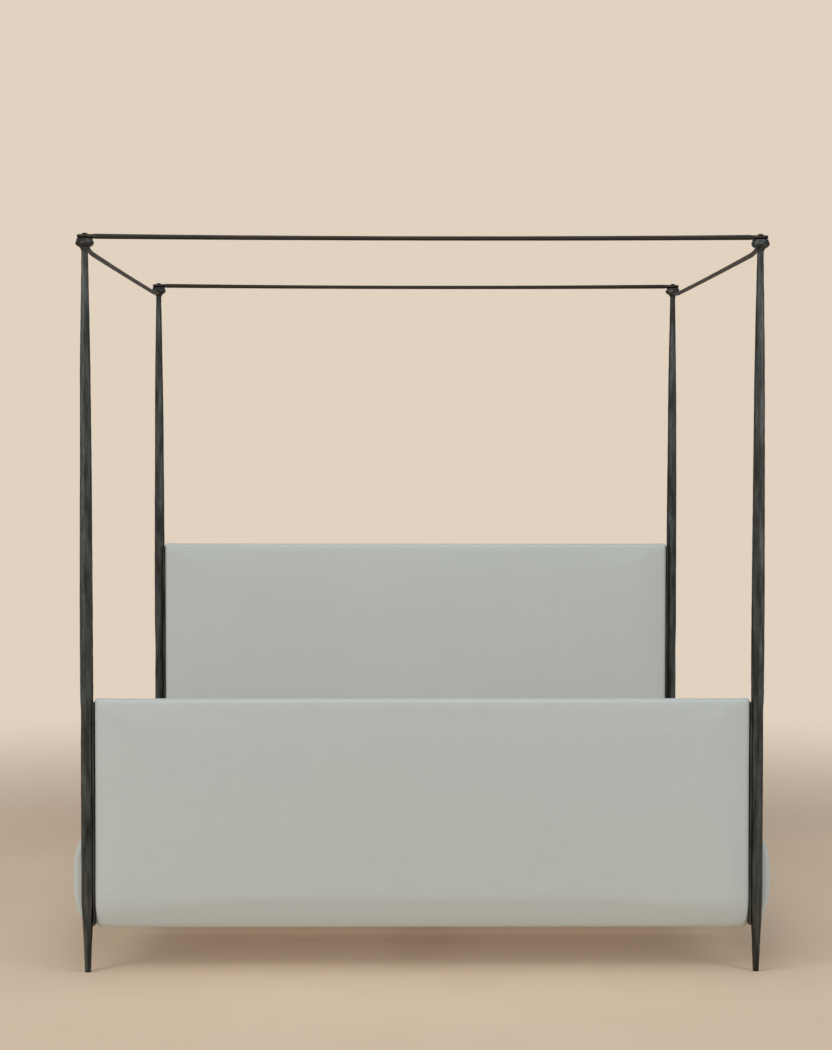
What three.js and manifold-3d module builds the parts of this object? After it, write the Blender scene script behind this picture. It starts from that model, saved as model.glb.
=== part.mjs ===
// Four poster canopy bed: forged iron posts and canopy rails, upholstered panels and side rails,
// and a slatted base.
// Millimetres. +Z is up, +Y points to the head and +X to the right as seen from the foot.
// The origin is on the floor, midway between the four posts.

import * as THREE from "three";
import { mergeVertices } from "three/addons/utils/BufferGeometryUtils.js";
import Module from "manifold-3d";

const wasm = await Module();
wasm.setup();

// ---- Driving dimensions ----

const POST_X = 1040; // post centre to the bed's centre line
const POST_Y = 1070; // post centre to mid length
const BED_TOP = 2290; // top of the finial bolts
const CANOPY_Z = 2279; // axis of the foot and head canopy rails at their ends
const SIDE_CANOPY_DROP = 34; // side canopy rails lie this much lower
const PANEL_BOTTOM = 142; // underside of footboard and headboard
const FOOTBOARD_TOP = 855;
const HEADBOARD_TOP = 1240;
const PANEL_HALF_WIDTH = 1017;
const PANEL_OUTER_Y = 1098; // outer face of an end panel
const PANEL_INNER_Y = 1022; // mattress face of an end panel
const SIDE_RAIL_OUTER_X = 1089; // outermost bulge of a side rail
const SIDE_RAIL_INNER_X = 976; // mattress face of a side rail
const SIDE_RAIL_BOTTOM = 157;
const SIDE_RAIL_TOP = 416;
const SLAT_TOP = 300;
const GAP = 0.3; // clearance between touching pieces

// ---- Posts ----

const POST_SIDES = 8;
const POST_TIP_RADIUS = 9.4; // at the foot, above the glide
const GLIDE_HEIGHT = 4;
// [height, corner radius] up the forged taper
const POST_TAPER = [
  [100, 13.2], [150, 15.9], [205, 19], [720, 19], [900, 20.2], [1150, 20.2],
  [1400, 18.9], [1640, 17.6], [1890, 15.8], [2010, 14], [2210, 10.2],
];
const POST_NECK_RADIUS = 10;
const SPIGOT_RADIUS = 7; // post top that passes through the collar
const POST_BOLT_HOLE_RADIUS = 5.3;
const POST_BOLT_HOLE_DEPTH = 30;
const GLIDE_STEM_RADIUS = 3;
const GLIDE_STEM_LENGTH = 12;

// ---- Collars and canopy rails ----

const COLLAR_BOTTOM = -40; // heights on a collar are measured from the canopy rail's axis
const COLLAR_TOP = -7;
const COLLAR_BORE_RADIUS = 7.3;
const COLLAR_SEGMENTS = 16;
const EYE_RADIUS = 24;
const EYE_HALF_HEIGHT = 6.6;
const EYE_SEGMENTS = 20;
const EYE_HOLE_RADIUS = 5.2;
const EYE_NECK_RADIUS = 6.2; // the bar where it leaves the eye, above the collar
const RAIL_SIDES = 8;
const END_RAIL_RADII = [8.3, 6.9]; // at the ends, at mid span
const END_RAIL_SAG = 5;
const SIDE_CANOPY_RADII = [7.8, 6.1];
const SIDE_CANOPY_SAG = 4;
const SIDE_CANOPY_END_RISE = 5; // the bar lifts at its ends to meet the collar
const SIDE_CANOPY_REACH = 30; // from the post's axis to the bar's end
const SOCKET_RADIUS = 4.4; // in the collar, for the side rail's spigot
const RAIL_SPIGOT_RADIUS = 4;
const SOCKET_DEPTH_RADIUS = 10.5; // the socket's blind end, from the post's axis

// ---- Finial bolts ----

const BOLT_SHANK_RADIUS = 4.5;
const BOLT_HEAD_RADIUS = 9.5;
const BOLT_SEGMENTS = 16;

// ---- Panels ----

const PANEL_PADDING = 20; // round the core's edges
const PANEL_FACE_PADDING = 25; // in front of the core
const PANEL_CORE_THICKNESS = 36;
const PANEL_EDGE_RADIUS = 14;
const PANEL_CORNER_RADIUS = 16;
const BAR_THICKNESS = 5; // mounting bar between post and panel
const BAR_WIDTH = 40;
const BAR_BOTTOM = 146;
const BAR_TOP_CLEARANCE = 15; // bar ends this far below the panel's top

// ---- Side rails ----

const RAIL_CORE_THICKNESS = 28;
const RAIL_CORE_HALF_HEIGHT = 95;
const RAIL_BULGE = 34; // depth of the half-elliptic outer face
const RAIL_HALF_LENGTH = PANEL_INNER_Y - GAP;
const RAIL_PAD_HALF_LENGTH = 1047; // outside the end panels, up to the posts
const STEEL = 4; // thickness of brackets and hangers
const BRACKET_LEG = 48;
const BRACKET_BOTTOM = 195;
const BRACKET_TOP = 275;

// ---- Slatted base ----

const SLAT_COUNT = 11;
const SLAT_WIDTH = 95;
const SLAT_THICKNESS = 20;
const SLAT_HALF_LENGTH = 970;
const SLAT_FIELD = 965; // outer edge of the first and last slat
const LEDGE_STEEL = 3;
const LEDGE_WIDTH = 30;
const LEDGE_HEIGHT = 35;
const LEDGE_HALF_LENGTH = 968;
const BEAM_HALF_WIDTH = 20;
const BEAM_HEIGHT = 70;
const HANGER_CHEEK = 60;
const HANGER_HALF_WIDTH = 45;

// ---- Centre legs with levellers ----

const LEG_Y = 360;
const LEG_RADIUS = 16;
const LEG_BOTTOM = 27;
const LEG_FLANGE_RADIUS = 30;
const LEG_FLANGE_HEIGHT = 6;
const STEM_RADIUS = 5; // M10 thread
const STEM_BORE_RADIUS = 5.06;
const STEM_BORE_DEPTH = 50;
const STEM_TOP = 60;
const STEM_BOTTOM = 3.3;
const STEM_SEGMENTS = 32;
const HEX_RADIUS = 8.5;
const HEX_BOTTOM = 9;
const HEX_TOP = 15;
const PAD_RADIUS = 19;
const PAD_HEIGHT = 8;
const PAD_SOCKET_BOTTOM = 3;

// ---- Materials ----

function finish(color, roughness, metalness) {
  return new THREE.MeshStandardMaterial({ color, roughness, metalness });
}

const forgedIron = finish(0x2c2d2a, 0.55, 0.7);
const blackSteel = finish(0x1d1e1e, 0.6, 0.5);
const zincSteel = finish(0xb4b8ba, 0.4, 0.9);
const linen = finish(0xb2b4ae, 0.95, 0);
const plywood = finish(0xc8a97c, 0.7, 0);
const pine = finish(0xd9bd8c, 0.75, 0);
const nylon = finish(0x1a1a1a, 0.6, 0);

// ---- Solid helpers ----

function solidOf(geometry) {
  const bare = geometry.clone();
  bare.deleteAttribute("normal");
  bare.deleteAttribute("uv");
  const merged = mergeVertices(bare);
  return new wasm.Manifold(new wasm.Mesh({
    numProp: 3,
    vertProperties: Float32Array.from(merged.getAttribute("position").array),
    triVerts: Uint32Array.from(merged.getIndex().array),
  }));
}

function geometryOf(solid) {
  const mesh = solid.getMesh();
  const geometry = new THREE.BufferGeometry();
  geometry.setAttribute("position", new THREE.BufferAttribute(mesh.vertProperties, 3));
  geometry.setIndex(new THREE.BufferAttribute(mesh.triVerts, 1));
  geometry.computeVertexNormals();
  return geometry;
}

function join(first, ...others) {
  return geometryOf(others.reduce((sum, other) => sum.add(solidOf(other)), solidOf(first)));
}

function cut(body, ...tools) {
  return geometryOf(tools.reduce((rest, tool) => rest.subtract(solidOf(tool)), solidOf(body)));
}

function block(low, high) {
  const size = high.map((value, axis) => value - low[axis]);
  const middle = high.map((value, axis) => (value + low[axis]) / 2);
  return new THREE.BoxGeometry(...size).translate(...middle);
}

// A turned piece about Z, from [radius, height] points that run outwards, up and back to the axis.
function turned(profile, segments) {
  const points = profile.map(([radius, height]) => new THREE.Vector2(radius, height));
  return new THREE.LatheGeometry(points, segments).rotateX(Math.PI / 2);
}

// A prism along Y whose section is a shape drawn in X and Z.
function prismAlongY(shape, halfLength, curveSegments = 1) {
  const options = { depth: 2 * halfLength, bevelEnabled: false, curveSegments };
  return new THREE.ExtrudeGeometry(shape, options).rotateX(Math.PI / 2).translate(0, halfLength, 0);
}

function polygon(points) {
  return new THREE.Shape(points.map(([x, y]) => new THREE.Vector2(x, y)));
}

// A straight or sagging bar along Y with one ring of corners at each station.
function taperedBar(stations) {
  const rings = stations.length - 1;
  const bar = new THREE.CylinderGeometry(1, 1, 1, RAIL_SIDES, rings, false, Math.PI / RAIL_SIDES);
  const corners = bar.getAttribute("position");
  for (let i = 0; i < corners.count; i += 1) {
    const { along, radius, lift } = stations[Math.round((corners.getY(i) + 0.5) * rings)];
    corners.setXYZ(i, corners.getX(i) * radius, along, corners.getZ(i) * radius + lift);
  }
  return bar;
}

// ---- Sub-parts ----

function postGeometry(barTop) {
  const top = CANOPY_Z + COLLAR_TOP - GAP;
  const shoulder = CANOPY_Z + COLLAR_BOTTOM - GAP;
  const holeFloor = top - POST_BOLT_HOLE_DEPTH;
  const stemHole = GLIDE_STEM_RADIUS + GAP;
  const stemHoleTop = GLIDE_HEIGHT + GLIDE_STEM_LENGTH + GAP;
  const post = turned([
    [0, stemHoleTop], [stemHole, stemHoleTop], [stemHole, GLIDE_HEIGHT], [POST_TIP_RADIUS, GLIDE_HEIGHT],
    ...POST_TAPER.map(([height, radius]) => [radius, height]),
    [POST_NECK_RADIUS, shoulder], [SPIGOT_RADIUS, shoulder], [SPIGOT_RADIUS, top],
    [POST_BOLT_HOLE_RADIUS, top], [POST_BOLT_HOLE_RADIUS, holeFloor], [0, holeFloor],
  ], POST_SIDES);
  // A flat on the inner corner seats the mounting bar.
  const seat = PANEL_HALF_WIDTH + 2 * GAP + BAR_THICKNESS - POST_X;
  const clear = 2 * POST_TIP_RADIUS + BAR_WIDTH;
  return cut(post, block([-clear, -clear, BAR_BOTTOM - GAP], [seat, clear, barTop + GAP]));
}

function glideGeometry() {
  const top = GLIDE_HEIGHT - GAP;
  const tip = top + GLIDE_STEM_LENGTH;
  return turned([
    [0, 0], [POST_TIP_RADIUS - 1, 0], [POST_TIP_RADIUS, 1], [POST_TIP_RADIUS, top],
    [GLIDE_STEM_RADIUS, top], [GLIDE_STEM_RADIUS, tip], [0, tip],
  ], POST_SIDES);
}

function collarGeometry() {
  const body = turned([
    [COLLAR_BORE_RADIUS, COLLAR_BOTTOM], [10.5, COLLAR_BOTTOM], [15.5, -33], [23.5, -27], [29, -21],
    [27.5, -16.5], [24.5, -14], [24.5, COLLAR_TOP], [COLLAR_BORE_RADIUS, COLLAR_TOP],
    [COLLAR_BORE_RADIUS, COLLAR_BOTTOM],
  ], COLLAR_SEGMENTS);
  const length = 2 * EYE_RADIUS;
  const socket = new THREE.CylinderGeometry(SOCKET_RADIUS, SOCKET_RADIUS, length, COLLAR_SEGMENTS)
    .translate(0, SOCKET_DEPTH_RADIUS + length / 2, SIDE_CANOPY_END_RISE - SIDE_CANOPY_DROP);
  return cut(body, socket);
}

function finialBoltGeometry() {
  const underHead = EYE_HALF_HEIGHT + GAP;
  const crown = BED_TOP - CANOPY_Z;
  const tip = COLLAR_TOP - POST_BOLT_HOLE_DEPTH + 2;
  return turned([
    [0, tip], [BOLT_SHANK_RADIUS, tip], [BOLT_SHANK_RADIUS, underHead], [BOLT_HEAD_RADIUS, underHead],
    [BOLT_HEAD_RADIUS, underHead + 0.6], [8.2, underHead + 2.3], [5, crown - 0.6], [0, crown],
  ], BOLT_SEGMENTS);
}

// Stations of a bar between two posts: it thins and sags towards mid span.
function sagStations(halfLength, radii, sag, count) {
  return Array.from({ length: count + 1 }, (_, i) => {
    const share = (2 * i) / count - 1;
    const slack = 1 - share * share;
    const radius = radii[0] + (radii[1] - radii[0]) * slack;
    return { along: halfLength * share, radius, lift: -sag * slack };
  });
}

function endCanopyRailGeometry() {
  const eyeNeck = EYE_RADIUS - 3;
  const neck = (side) => ({ along: side * (POST_X - eyeNeck), radius: EYE_NECK_RADIUS, lift: 0 });
  const span = sagStations(POST_X - EYE_RADIUS - 4, END_RAIL_RADII, END_RAIL_SAG, 10);
  const bar = taperedBar([neck(-1), ...span, neck(1)]).rotateZ(-Math.PI / 2);
  const disc = (side, radius, halfHeight) => new THREE
    .CylinderGeometry(radius, radius, 2 * halfHeight, EYE_SEGMENTS)
    .rotateX(Math.PI / 2)
    .translate(side * POST_X, 0, 0);
  const joined = join(bar, disc(-1, EYE_RADIUS, EYE_HALF_HEIGHT), disc(1, EYE_RADIUS, EYE_HALF_HEIGHT));
  return cut(joined, disc(-1, EYE_HOLE_RADIUS, EYE_RADIUS), disc(1, EYE_HOLE_RADIUS, EYE_RADIUS));
}

function sideCanopyRailGeometry() {
  const halfLength = POST_Y - SIDE_CANOPY_REACH;
  const endRadius = SIDE_CANOPY_RADII[0];
  const rise = (side) => ({ along: side * halfLength, radius: endRadius, lift: SIDE_CANOPY_END_RISE });
  const span = sagStations(halfLength - 110, SIDE_CANOPY_RADII, SIDE_CANOPY_SAG, 10);
  const bar = taperedBar([rise(-1), ...span, rise(1)]);
  const spigotEnd = POST_Y - SOCKET_DEPTH_RADIUS - GAP;
  const spigotStart = halfLength - 2;
  const spigot = (side) => new THREE
    .CylinderGeometry(RAIL_SPIGOT_RADIUS, RAIL_SPIGOT_RADIUS, spigotEnd - spigotStart, RAIL_SIDES)
    .translate(0, side * (spigotEnd + spigotStart) / 2, SIDE_CANOPY_END_RISE);
  return join(bar, spigot(-1), spigot(1));
}

// A padded cover like a shallow tray: its face towards the foot, its pocket for the core towards the head.
// The footboard shows this face outwards, and the headboard shows it to the mattress.
function panelCoverGeometry(top) {
  const w = PANEL_HALF_WIDTH;
  const r = PANEL_CORNER_RADIUS;
  const outline = new THREE.Shape();
  outline.moveTo(-w + r, PANEL_BOTTOM);
  outline.lineTo(w - r, PANEL_BOTTOM);
  outline.absarc(w - r, PANEL_BOTTOM + r, r, -Math.PI / 2, 0);
  outline.lineTo(w, top - r);
  outline.absarc(w - r, top - r, r, 0, Math.PI / 2);
  outline.lineTo(-w + r, top);
  outline.absarc(-w + r, top - r, r, Math.PI / 2, Math.PI);
  outline.lineTo(-w, PANEL_BOTTOM + r);
  outline.absarc(-w + r, PANEL_BOTTOM + r, r, Math.PI, 1.5 * Math.PI);
  const thickness = PANEL_OUTER_Y - PANEL_INNER_Y;
  const pad = new THREE.ExtrudeGeometry(outline, {
    depth: thickness - 2 * PANEL_EDGE_RADIUS,
    bevelThickness: PANEL_EDGE_RADIUS,
    bevelSize: PANEL_EDGE_RADIUS,
    bevelOffset: -PANEL_EDGE_RADIUS,
    bevelSegments: 3,
    curveSegments: 3,
  }).rotateX(Math.PI / 2).translate(0, -PANEL_INNER_Y - PANEL_EDGE_RADIUS, 0);
  const inset = PANEL_PADDING;
  const pocket = block(
    [-w + inset, -PANEL_OUTER_Y + PANEL_FACE_PADDING, PANEL_BOTTOM + inset],
    [w - inset, -PANEL_INNER_Y + inset, top - inset],
  );
  return cut(pad, pocket);
}

function panelBoard(top, outerY, innerY) {
  const inset = PANEL_PADDING + GAP;
  const w = PANEL_HALF_WIDTH - inset;
  return block([-w, -outerY, PANEL_BOTTOM + inset], [w, -innerY, top - inset]);
}

function mountingBarGeometry(barTop) {
  const inner = PANEL_HALF_WIDTH + GAP;
  const half = BAR_WIDTH / 2;
  const middle = (PANEL_OUTER_Y + PANEL_INNER_Y) / 2;
  return block([inner, -middle - half, BAR_BOTTOM], [inner + BAR_THICKNESS, -middle + half, barTop]);
}

function sideRailCoverGeometry() {
  const middle = (SIDE_RAIL_BOTTOM + SIDE_RAIL_TOP) / 2;
  const halfHeight = (SIDE_RAIL_TOP - SIDE_RAIL_BOTTOM) / 2;
  const bulgeStart = SIDE_RAIL_OUTER_X - RAIL_BULGE;
  const pocketX = SIDE_RAIL_INNER_X + RAIL_CORE_THICKNESS + GAP;
  const pocketHalf = RAIL_CORE_HALF_HEIGHT + GAP;
  const soften = 5;
  const section = new THREE.Shape();
  const quarter = Math.PI / 2;
  const bulge = (shape) => shape.absellipse(bulgeStart, middle, RAIL_BULGE, halfHeight, -quarter, quarter);
  section.moveTo(SIDE_RAIL_INNER_X + soften, SIDE_RAIL_BOTTOM);
  section.lineTo(bulgeStart, SIDE_RAIL_BOTTOM);
  bulge(section);
  section.lineTo(SIDE_RAIL_INNER_X + soften, SIDE_RAIL_TOP);
  section.lineTo(SIDE_RAIL_INNER_X, SIDE_RAIL_TOP - soften);
  section.lineTo(SIDE_RAIL_INNER_X, middle + pocketHalf);
  section.lineTo(pocketX, middle + pocketHalf);
  section.lineTo(pocketX, middle - pocketHalf);
  section.lineTo(SIDE_RAIL_INNER_X, middle - pocketHalf);
  section.lineTo(SIDE_RAIL_INNER_X, SIDE_RAIL_BOTTOM + soften);
  // Outside the end panels the padding runs on until it nearly meets the posts.
  const outside = new THREE.Shape();
  const outsideX = PANEL_HALF_WIDTH + BAR_THICKNESS + 1.5;
  outside.moveTo(outsideX, SIDE_RAIL_BOTTOM);
  outside.lineTo(bulgeStart, SIDE_RAIL_BOTTOM);
  bulge(outside);
  outside.lineTo(outsideX, SIDE_RAIL_TOP);
  const arcSteps = 14;
  const body = prismAlongY(section, RAIL_HALF_LENGTH, arcSteps);
  return join(body, prismAlongY(outside, RAIL_PAD_HALF_LENGTH, arcSteps));
}

function sideRailCoreGeometry() {
  const middle = (SIDE_RAIL_BOTTOM + SIDE_RAIL_TOP) / 2;
  return block(
    [SIDE_RAIL_INNER_X, -RAIL_HALF_LENGTH, middle - RAIL_CORE_HALF_HEIGHT],
    [SIDE_RAIL_INNER_X + RAIL_CORE_THICKNESS, RAIL_HALF_LENGTH, middle + RAIL_CORE_HALF_HEIGHT],
  );
}

function slatLedgeGeometry() {
  const back = SIDE_RAIL_INNER_X - GAP;
  const top = SLAT_TOP - SLAT_THICKNESS - GAP;
  return prismAlongY(polygon([
    [back, top], [back - LEDGE_WIDTH, top], [back - LEDGE_WIDTH, top - LEDGE_STEEL],
    [back - LEDGE_STEEL, top - LEDGE_STEEL], [back - LEDGE_STEEL, top - LEDGE_HEIGHT],
    [back, top - LEDGE_HEIGHT],
  ]), LEDGE_HALF_LENGTH);
}

// An angle bracket in the corner between a side rail and an end panel.
function railBracketGeometry(sideX, sideY) {
  const x = SIDE_RAIL_INNER_X - GAP;
  const y = PANEL_INNER_Y - GAP;
  const corner = [
    [x, y], [x - BRACKET_LEG, y], [x - BRACKET_LEG, y - STEEL],
    [x - STEEL, y - STEEL], [x - STEEL, y - BRACKET_LEG], [x, y - BRACKET_LEG],
  ];
  const plan = polygon(corner.map(([px, py]) => [sideX * px, sideY * py]));
  const depth = BRACKET_TOP - BRACKET_BOTTOM;
  return new THREE.ExtrudeGeometry(plan, { depth, bevelEnabled: false }).translate(0, 0, BRACKET_BOTTOM);
}

const beamTop = SLAT_TOP - SLAT_THICKNESS - GAP;
const beamBottom = beamTop - BEAM_HEIGHT;
const beamHalfLength = PANEL_INNER_Y - 2 * GAP - STEEL;

function centreBeamGeometry() {
  return block([-BEAM_HALF_WIDTH, -beamHalfLength, beamBottom], [BEAM_HALF_WIDTH, beamHalfLength, beamTop]);
}

// A hanger for the foot end: a back plate on the panel and a U that holds the beam.
function beamHangerGeometry() {
  const back = -PANEL_INNER_Y + GAP;
  const inside = BEAM_HALF_WIDTH + GAP;
  const outside = inside + STEEL;
  const floor = beamBottom - GAP;
  const plate = block([-HANGER_HALF_WIDTH, back, floor - STEEL], [HANGER_HALF_WIDTH, back + STEEL, beamTop]);
  const stirrup = prismAlongY(polygon([
    [-outside, beamTop], [-outside, floor - STEEL], [outside, floor - STEEL], [outside, beamTop],
    [inside, beamTop], [inside, floor], [-inside, floor], [-inside, beamTop],
  ]), HANGER_CHEEK / 2).translate(0, back + STEEL / 2 + HANGER_CHEEK / 2, 0);
  return join(plate, stirrup);
}

function centreLegGeometry() {
  const top = beamBottom - GAP;
  const flange = top - LEG_FLANGE_HEIGHT;
  const boreTop = LEG_BOTTOM + STEM_BORE_DEPTH;
  return turned([
    [0, boreTop], [STEM_BORE_RADIUS, boreTop], [STEM_BORE_RADIUS, LEG_BOTTOM], [LEG_RADIUS, LEG_BOTTOM],
    [LEG_RADIUS, flange], [LEG_FLANGE_RADIUS, flange], [LEG_FLANGE_RADIUS, top], [0, top],
  ], STEM_SEGMENTS);
}

function levellerStemGeometry() {
  const rod = turned([
    [0, STEM_BOTTOM], [STEM_RADIUS, STEM_BOTTOM], [STEM_RADIUS, STEM_TOP - 1], [STEM_RADIUS - 1, STEM_TOP],
    [0, STEM_TOP],
  ], STEM_SEGMENTS);
  const hex = turned([[0, HEX_BOTTOM], [HEX_RADIUS, HEX_BOTTOM], [HEX_RADIUS, HEX_TOP], [0, HEX_TOP]], 6);
  return join(rod, hex);
}

function levellerPadGeometry() {
  return turned([
    [0, 0], [PAD_RADIUS - 1.5, 0], [PAD_RADIUS, 1.5], [PAD_RADIUS, PAD_HEIGHT - 3],
    [PAD_RADIUS - 6, PAD_HEIGHT], [STEM_BORE_RADIUS, PAD_HEIGHT],
    [STEM_BORE_RADIUS, PAD_SOCKET_BOTTOM], [0, PAD_SOCKET_BOTTOM],
  ], STEM_SEGMENTS);
}

// ---- Assembly ----

const bed = new THREE.Group();
const halfTurn = Math.PI;

function add(name, geometry, material, x = 0, y = 0, z = 0, turn = 0) {
  const mesh = new THREE.Mesh(geometry, material);
  mesh.name = name;
  mesh.position.set(x, y, z);
  mesh.rotation.z = turn;
  bed.add(mesh);
}

const ends = [
  { end: "foot", sideY: -1, turn: 0, panelTop: FOOTBOARD_TOP },
  { end: "head", sideY: 1, turn: halfTurn, panelTop: HEADBOARD_TOP },
];
const sides = [
  { side: "left", sideX: -1, turn: halfTurn },
  { side: "right", sideX: 1, turn: 0 },
];

for (const { end, sideY, turn: endTurn, panelTop } of ends) {
  const barTop = panelTop - BAR_TOP_CLEARANCE;
  // Both end panels are drawn at the foot and face the same way, so the headboard only moves along the bed.
  const panelShift = sideY > 0 ? PANEL_OUTER_Y + PANEL_INNER_Y : 0;
  for (const { side, sideX, turn: sideTurn } of sides) {
    const x = sideX * POST_X;
    const y = sideY * POST_Y;
    add(`post_${end}_${side}`, postGeometry(barTop), forgedIron, x, y, 0, sideTurn);
    add(`foot_glide_${end}_${side}`, glideGeometry(), nylon, x, y);
    add(`collar_${end}_${side}`, collarGeometry(), forgedIron, x, y, CANOPY_Z, endTurn);
    add(`finial_bolt_${end}_${side}`, finialBoltGeometry(), forgedIron, x, y, CANOPY_Z);
    const barX = sideX < 0 ? -2 * (PANEL_HALF_WIDTH + GAP) - BAR_THICKNESS : 0;
    add(`mounting_bar_${end}_${side}`, mountingBarGeometry(barTop), blackSteel, barX, panelShift);
    add(`rail_bracket_${end}_${side}`, railBracketGeometry(sideX, sideY), blackSteel);
  }
  const board = end === "foot" ? "footboard" : "headboard";
  const closing = end === "foot" ? "footboard_inner_panel" : "headboard_back_panel";
  const coreOuter = PANEL_OUTER_Y - PANEL_FACE_PADDING - GAP;
  const coreInner = coreOuter - PANEL_CORE_THICKNESS;
  add(`canopy_rail_${end}`, endCanopyRailGeometry(), forgedIron, 0, sideY * POST_Y, CANOPY_Z);
  add(`${board}_cover`, panelCoverGeometry(panelTop), linen, 0, panelShift);
  add(`${board}_core`, panelBoard(panelTop, coreOuter, coreInner), plywood, 0, panelShift);
  add(closing, panelBoard(panelTop, coreInner - GAP, PANEL_INNER_Y), linen, 0, panelShift);
  add(`beam_hanger_${end}`, beamHangerGeometry(), blackSteel, 0, 0, 0, endTurn);
  add(`centre_leg_${end}`, centreLegGeometry(), blackSteel, 0, sideY * LEG_Y);
  add(`leveller_stem_${end}`, levellerStemGeometry(), zincSteel, 0, sideY * LEG_Y);
  add(`leveller_pad_${end}`, levellerPadGeometry(), nylon, 0, sideY * LEG_Y);
}

for (const { side, sideX, turn } of sides) {
  const canopyZ = CANOPY_Z - SIDE_CANOPY_DROP;
  add(`canopy_rail_${side}`, sideCanopyRailGeometry(), forgedIron, sideX * POST_X, 0, canopyZ);
  add(`side_rail_cover_${side}`, sideRailCoverGeometry(), linen, 0, 0, 0, turn);
  add(`side_rail_core_${side}`, sideRailCoreGeometry(), plywood, 0, 0, 0, turn);
  add(`slat_ledge_${side}`, slatLedgeGeometry(), blackSteel, 0, 0, 0, turn);
}

add("centre_beam", centreBeamGeometry(), pine);

const slat = block(
  [-SLAT_HALF_LENGTH, -SLAT_WIDTH / 2, -SLAT_THICKNESS],
  [SLAT_HALF_LENGTH, SLAT_WIDTH / 2, 0],
);
const slatPitch = (2 * SLAT_FIELD - SLAT_WIDTH) / (SLAT_COUNT - 1);
for (let i = 0; i < SLAT_COUNT; i += 1) {
  const y = -SLAT_FIELD + SLAT_WIDTH / 2 + i * slatPitch;
  add(`slat_${String(i + 1).padStart(2, "0")}`, slat, pine, 0, y, SLAT_TOP);
}

export default bed;
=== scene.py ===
"""Looks for the four poster canopy bed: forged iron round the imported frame, and padded linen over its panels.

Every length is in metres, in the frame's own axes: +Z up, +Y to the head, +X to the right seen from the foot.
"""

import math

import bpy
import numpy as np
from mathutils import Matrix, Vector, noise


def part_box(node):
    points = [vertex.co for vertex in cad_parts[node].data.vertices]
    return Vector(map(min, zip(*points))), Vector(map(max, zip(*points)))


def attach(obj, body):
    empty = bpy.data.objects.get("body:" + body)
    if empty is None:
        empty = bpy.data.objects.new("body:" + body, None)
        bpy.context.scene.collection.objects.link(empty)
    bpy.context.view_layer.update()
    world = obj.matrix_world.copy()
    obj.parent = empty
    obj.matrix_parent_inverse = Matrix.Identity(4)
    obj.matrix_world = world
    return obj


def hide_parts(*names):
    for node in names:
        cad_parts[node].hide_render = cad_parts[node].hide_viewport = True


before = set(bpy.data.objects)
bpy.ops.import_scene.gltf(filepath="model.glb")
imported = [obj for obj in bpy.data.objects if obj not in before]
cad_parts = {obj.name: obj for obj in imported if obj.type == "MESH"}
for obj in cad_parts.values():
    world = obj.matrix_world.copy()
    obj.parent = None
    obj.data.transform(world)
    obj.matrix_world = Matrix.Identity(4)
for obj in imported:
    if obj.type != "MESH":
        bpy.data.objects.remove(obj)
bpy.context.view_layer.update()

ENDS = ("foot", "head")
SIDES = ("left", "right")
CORNERS = [f"{end}_{side}" for end in ENDS for side in SIDES]
MM = 0.001
X_AXIS, Y_AXIS, Z_AXIS = np.eye(3)


# ---- Materials ----

class Shader:
    """A material with a Principled shader, and a short way to add nodes to it."""

    def __init__(self, name, **constants):
        self.material = bpy.data.materials.new(name)
        self.material.use_nodes = True
        self.tree = self.material.node_tree
        self.surface = self.tree.nodes["Principled BSDF"]
        for socket, value in constants.items():
            self.surface.inputs[socket.replace("_", " ")].default_value = value
        self.place = self.node("ShaderNodeTexCoord").outputs["Object"]

    def node(self, kind, inputs=None, **settings):
        made = self.tree.nodes.new(kind)
        for name, value in settings.items():
            setattr(made, name, value)
        for name, value in (inputs or {}).items():
            self.put(made.inputs[name], value)
        return made

    def put(self, socket, value):
        if isinstance(value, bpy.types.NodeSocket):
            self.tree.links.new(value, socket)
        else:
            socket.default_value = value

    def math(self, operation, a, b=0.0):
        return self.node("ShaderNodeMath", {0: a, 1: b}, operation=operation).outputs[0]

    def scaled_place(self, scale, vector=None):
        inputs = {"Vector": vector or self.place, "Scale": scale}
        return self.node("ShaderNodeMapping", inputs).outputs[0]

    def noise(self, vector, scale=1.0, detail=4.0, roughness=0.55):
        inputs = {"Vector": vector, "Scale": scale, "Detail": detail, "Roughness": roughness}
        return self.node("ShaderNodeTexNoise", inputs).outputs["Fac"]

    def ramp(self, factor, low, high, out_low, out_high):
        inputs = {0: factor, 1: low, 2: high, 3: out_low, 4: out_high}
        return self.node("ShaderNodeMapRange", inputs).outputs[0]

    def mix(self, factor, first, second):
        made = self.node("ShaderNodeMix", data_type="RGBA")
        for index, value in ((0, factor), (6, first), (7, second)):
            self.put(made.inputs[index], value)
        return made.outputs[2]

    def bump(self, height, distance, strength=1.0, normal=None):
        made = self.node("ShaderNodeBump", {"Height": height, "Distance": distance, "Strength": strength})
        if normal:
            self.put(made.inputs["Normal"], normal)
        return made.outputs[0]

    def finish(self, **sockets):
        for name, value in sockets.items():
            self.put(self.surface.inputs[name.replace("_", " ")], value)
        return self.material


def rgb(red, green, blue):
    """Linear colour from the usual 0 to 255 numbers."""
    def linear(value):
        share = value / 255
        return share / 12.92 if share <= 0.04045 else ((share + 0.055) / 1.055) ** 2.4
    return (linear(red), linear(green), linear(blue), 1.0)


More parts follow.
